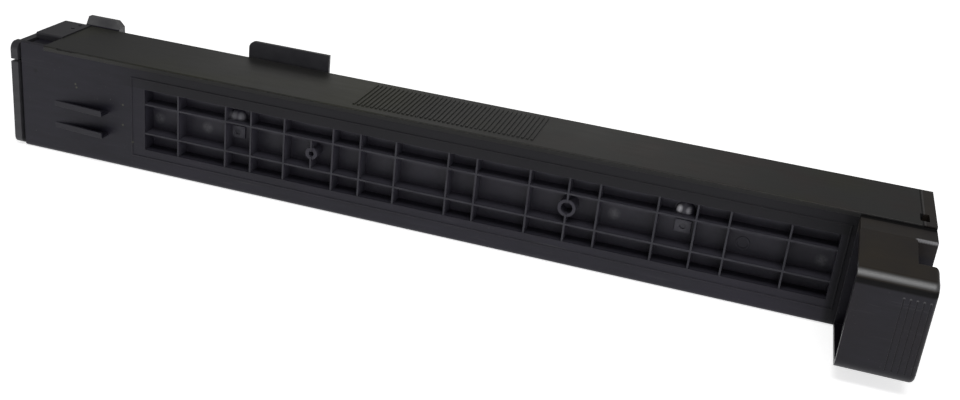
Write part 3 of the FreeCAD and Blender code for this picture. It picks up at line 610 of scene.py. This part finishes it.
def grip_marks(made):
    """Handled top, polished band, painted shade below it and at the gap, painted light on grooves, rim,
    lip.
    """
    handled = made.noise(scale=30, detail=3, rough=0.6).step(0.3, 0.7) * 0.6 + 0.3
    below = round_about(made) * made.between("Z", *BELOW_POLISH_Z, BELOW_POLISH_FADE)
    gap = made.between("Y", *GAP_Y) * made.between("Z", *GAP_Z)
    rim = made.between("X", *CAP_RIM_X) * made.between("Z", *CAP_RIM_Z)
    return [
        mark(made.between("Z", *HANDLED_Z, HANDLED_FADE), GRIP_BROWN, amount=handled),
        mark(rolled_edge(made), POLISHED_BLACK),
        # Painted shade right below the polished band
        mark(below, BELOW_POLISH_SHADE, gloss=-0.4),
        # Painted glints on the tops of the grooves
        mark(made.near_any(GROOVE_TOPS, radius=0.45, soft=0.2), GROOVE_GLINT, amount=0.35),
        # Painted shade where the arm meets the body, standing in for a dark gap
        mark(gap, SHADE_BLACK, amount=0.95, gloss=-0.4, rise=-6.0),
        # Painted highlight on the cap's rim
        mark(rim, CAP_RIM_HIGHLIGHT, amount=0.5),
        # Painted highlight on the arm's lip
        mark(made.near_any(CAP_LIP, radius=0.9, soft=0.4), LIP_HIGHLIGHT, amount=0.6, gloss=0.1),
    ]


print("groove ends:", len(GROOVE_TOPS))

# %% [markdown]
# ## The black mouldings
#
# The black mouldings come from different moulds and have been handled differently, so there are
# five finishes. The body is bluish, the lid neutral with olive smudges, the cap and the shutter are
# greyer, and the grip is the blackest and smoothest.

# %% The black finishes
BODY_TINT = (0.0116, 0.0108, 0.0168)
LID_TINT = (0.0155, 0.0153, 0.0142)
CAP_TINT = (0.032, 0.0314, 0.0352)
GRIP_TINT = (0.0078, 0.0072, 0.0112)
SHUTTER_TINT = (0.04, 0.04, 0.044)
OLIVE = (0.0205, 0.0207, 0.0125)
RUSSET = (0.0088, 0.0066, 0.0095)
VIOLET = (0.0145, 0.0125, 0.02)
finishes = {
    "body": black_plastic("body_plastic", BODY_TINT, roughness=0.47, ior=1.31, smudge=VIOLET,
                          marks=hopper_marks),
    "lid": black_plastic("lid_plastic", LID_TINT, roughness=0.44, scuff=0.8, smudge=OLIVE,
                         marks=lid_marks),
    "cap": black_plastic("cap_plastic", CAP_TINT, roughness=0.45),
    "grip": black_plastic("grip_plastic", GRIP_TINT, roughness=0.38, ior=1.29, grain=0.35,
                          edge_gain=0.8, smudge=RUSSET, marks=grip_marks, polish=rolled_edge),
    "shutter": black_plastic("shutter_plastic", SHUTTER_TINT, roughness=0.4, scuff=0.9),
}
print("black plastics:", ", ".join(finishes))

# %% [markdown]
# ## The pale inner plastics, metal, foam and board
#
# Gears and shafts are natural acetal, which is milky and a little waxy. The shaft seals are felt,
# the outlet seal is foam, and the screws are zinc plated. Each gets its own grain. One function
# lets a noise field vary colour, roughness and relief, and most of these materials use it.

# %% Inner materials
def grained(made, field, dark, pale, spread, roughness, depth, strength, normal=None):
    """Let one noise field vary a finish's colour, its roughness and its relief."""
    made.connect("Base Color", made.mix(field, dark, pale))
    made.connect("Roughness", field * spread + roughness)
    made.connect("Normal", made.bump(field, depth, strength, normal))
    return made


def pale_plastic(name, tint, roughness):
    """Milky moulded plastic with faint flow marks and a fine grain of its own."""
    made = Finish(name, IOR=1.48, Subsurface_Weight=0.08)
    flow = made.noise(scale=60, detail=3, at=made.stretch((1, 3, 3)))
    made.connect("Base Color", made.mix(flow, scaled(tint, share=0.9), tint))
    made.connect("Roughness", flow * 0.12 + roughness)
    skin = made.noise(scale=1800, detail=2)
    made.connect("Normal", made.bump(skin, distance=0.03, strength=0.4, normal=made.soft_edges(0.25)))
    return made


def plated_steel(name):
    """Zinc plating with fine turned lines."""
    made = Finish(name, Metallic=1.0)
    lines = made.noise(1, at=made.stretch((2500, 300, 300)))
    return grained(made, lines, dark=(0.42, 0.42, 0.43), pale=(0.62, 0.62, 0.61), spread=0.2,
                   roughness=0.25, depth=0.02, strength=0.4, normal=made.soft_edges(0.2))


def foam(name, tint):
    """Open foam or felt with a rough, matt face."""
    made = Finish(name)
    cells = made.noise(scale=1400, detail=3, rough=0.7)
    return grained(made, cells, dark=scaled(tint, share=0.6), pale=scaled(tint, share=1.4), spread=0.1,
                   roughness=0.85, depth=0.25, strength=0.8)


def circuit_board(name):
    """Green solder mask with a faint weave."""
    made = Finish(name, IOR=1.5)
    weave = made.noise(scale=1100, detail=1)
    return grained(made, weave, dark=(0.012, 0.075, 0.03), pale=(0.02, 0.11, 0.045), spread=0.15,
                   roughness=0.25, depth=0.03, strength=0.4)


def gold_pad(name):
    """Gold plating with light contact wear."""
    made = Finish(name, Metallic=1.0)
    wear = made.noise(scale=900)
    return grained(made, wear, dark=(0.75, 0.52, 0.2), pale=(0.9, 0.68, 0.33), spread=0.2,
                   roughness=0.18, depth=0.02, strength=0.3)


def thin_film(name):
    """Stiff clear film with a frosted tint."""
    made = Finish(name, IOR=1.5)
    frost = made.noise(scale=120, detail=3)
    return grained(made, frost, dark=(0.5, 0.52, 0.54), pale=(0.62, 0.64, 0.66), spread=0.15,
                   roughness=0.12, depth=0.05, strength=0.3)


finishes.update({
    "shaft": pale_plastic("shaft_plastic", (0.62, 0.61, 0.57), roughness=0.42),
    "gear": pale_plastic("gear_plastic", (0.7, 0.69, 0.63), roughness=0.35),
    "plug": pale_plastic("plug_plastic", (0.55, 0.56, 0.55), roughness=0.45),
    "steel": plated_steel("screw_steel"),
    "seal": foam("seal_rubber", (0.03, 0.03, 0.03)),
    "foam": foam("foam_seal", (0.07, 0.07, 0.072)),
    "board": circuit_board("board"),
    "gold": gold_pad("contact_gold"),
    "film": thin_film("clear_film"),
})
print("finishes:", len(finishes))

# %% [markdown]
# ## Dressing the solids
#
# Each ready-made piece keeps its mesh and only gets a finish in its material slots.

# %% Give every node its finish
DRESS = {
    "hopper_body": "body", "top_lid": "lid", "drive_end_cap": "cap", "handle_end_cap": "grip",
    "agitator_shaft": "shaft", "agitator_film": "film", "film_clamp": "shaft", "agitator_gear": "gear",
    "drive_coupling": "gear", "feed_auger": "shaft", "auger_gear": "gear", "agitator_seal": "seal",
    "auger_seal": "seal", "agitator_bush": "gear", "auger_bush": "gear", "outlet_seal": "foam",
    "outlet_shutter": "shutter", "fill_plug": "plug", "chip_holder": "cap", "chip_board": "board",
    "chip_contacts": "gold", "cap_screws": "steel",
}
for name, finish_name in DRESS.items():
    data = nodes[name].data
    data.materials.clear()
    data.materials.append(finishes[finish_name].material)
print("dressed:", len(DRESS), "of", len(nodes))
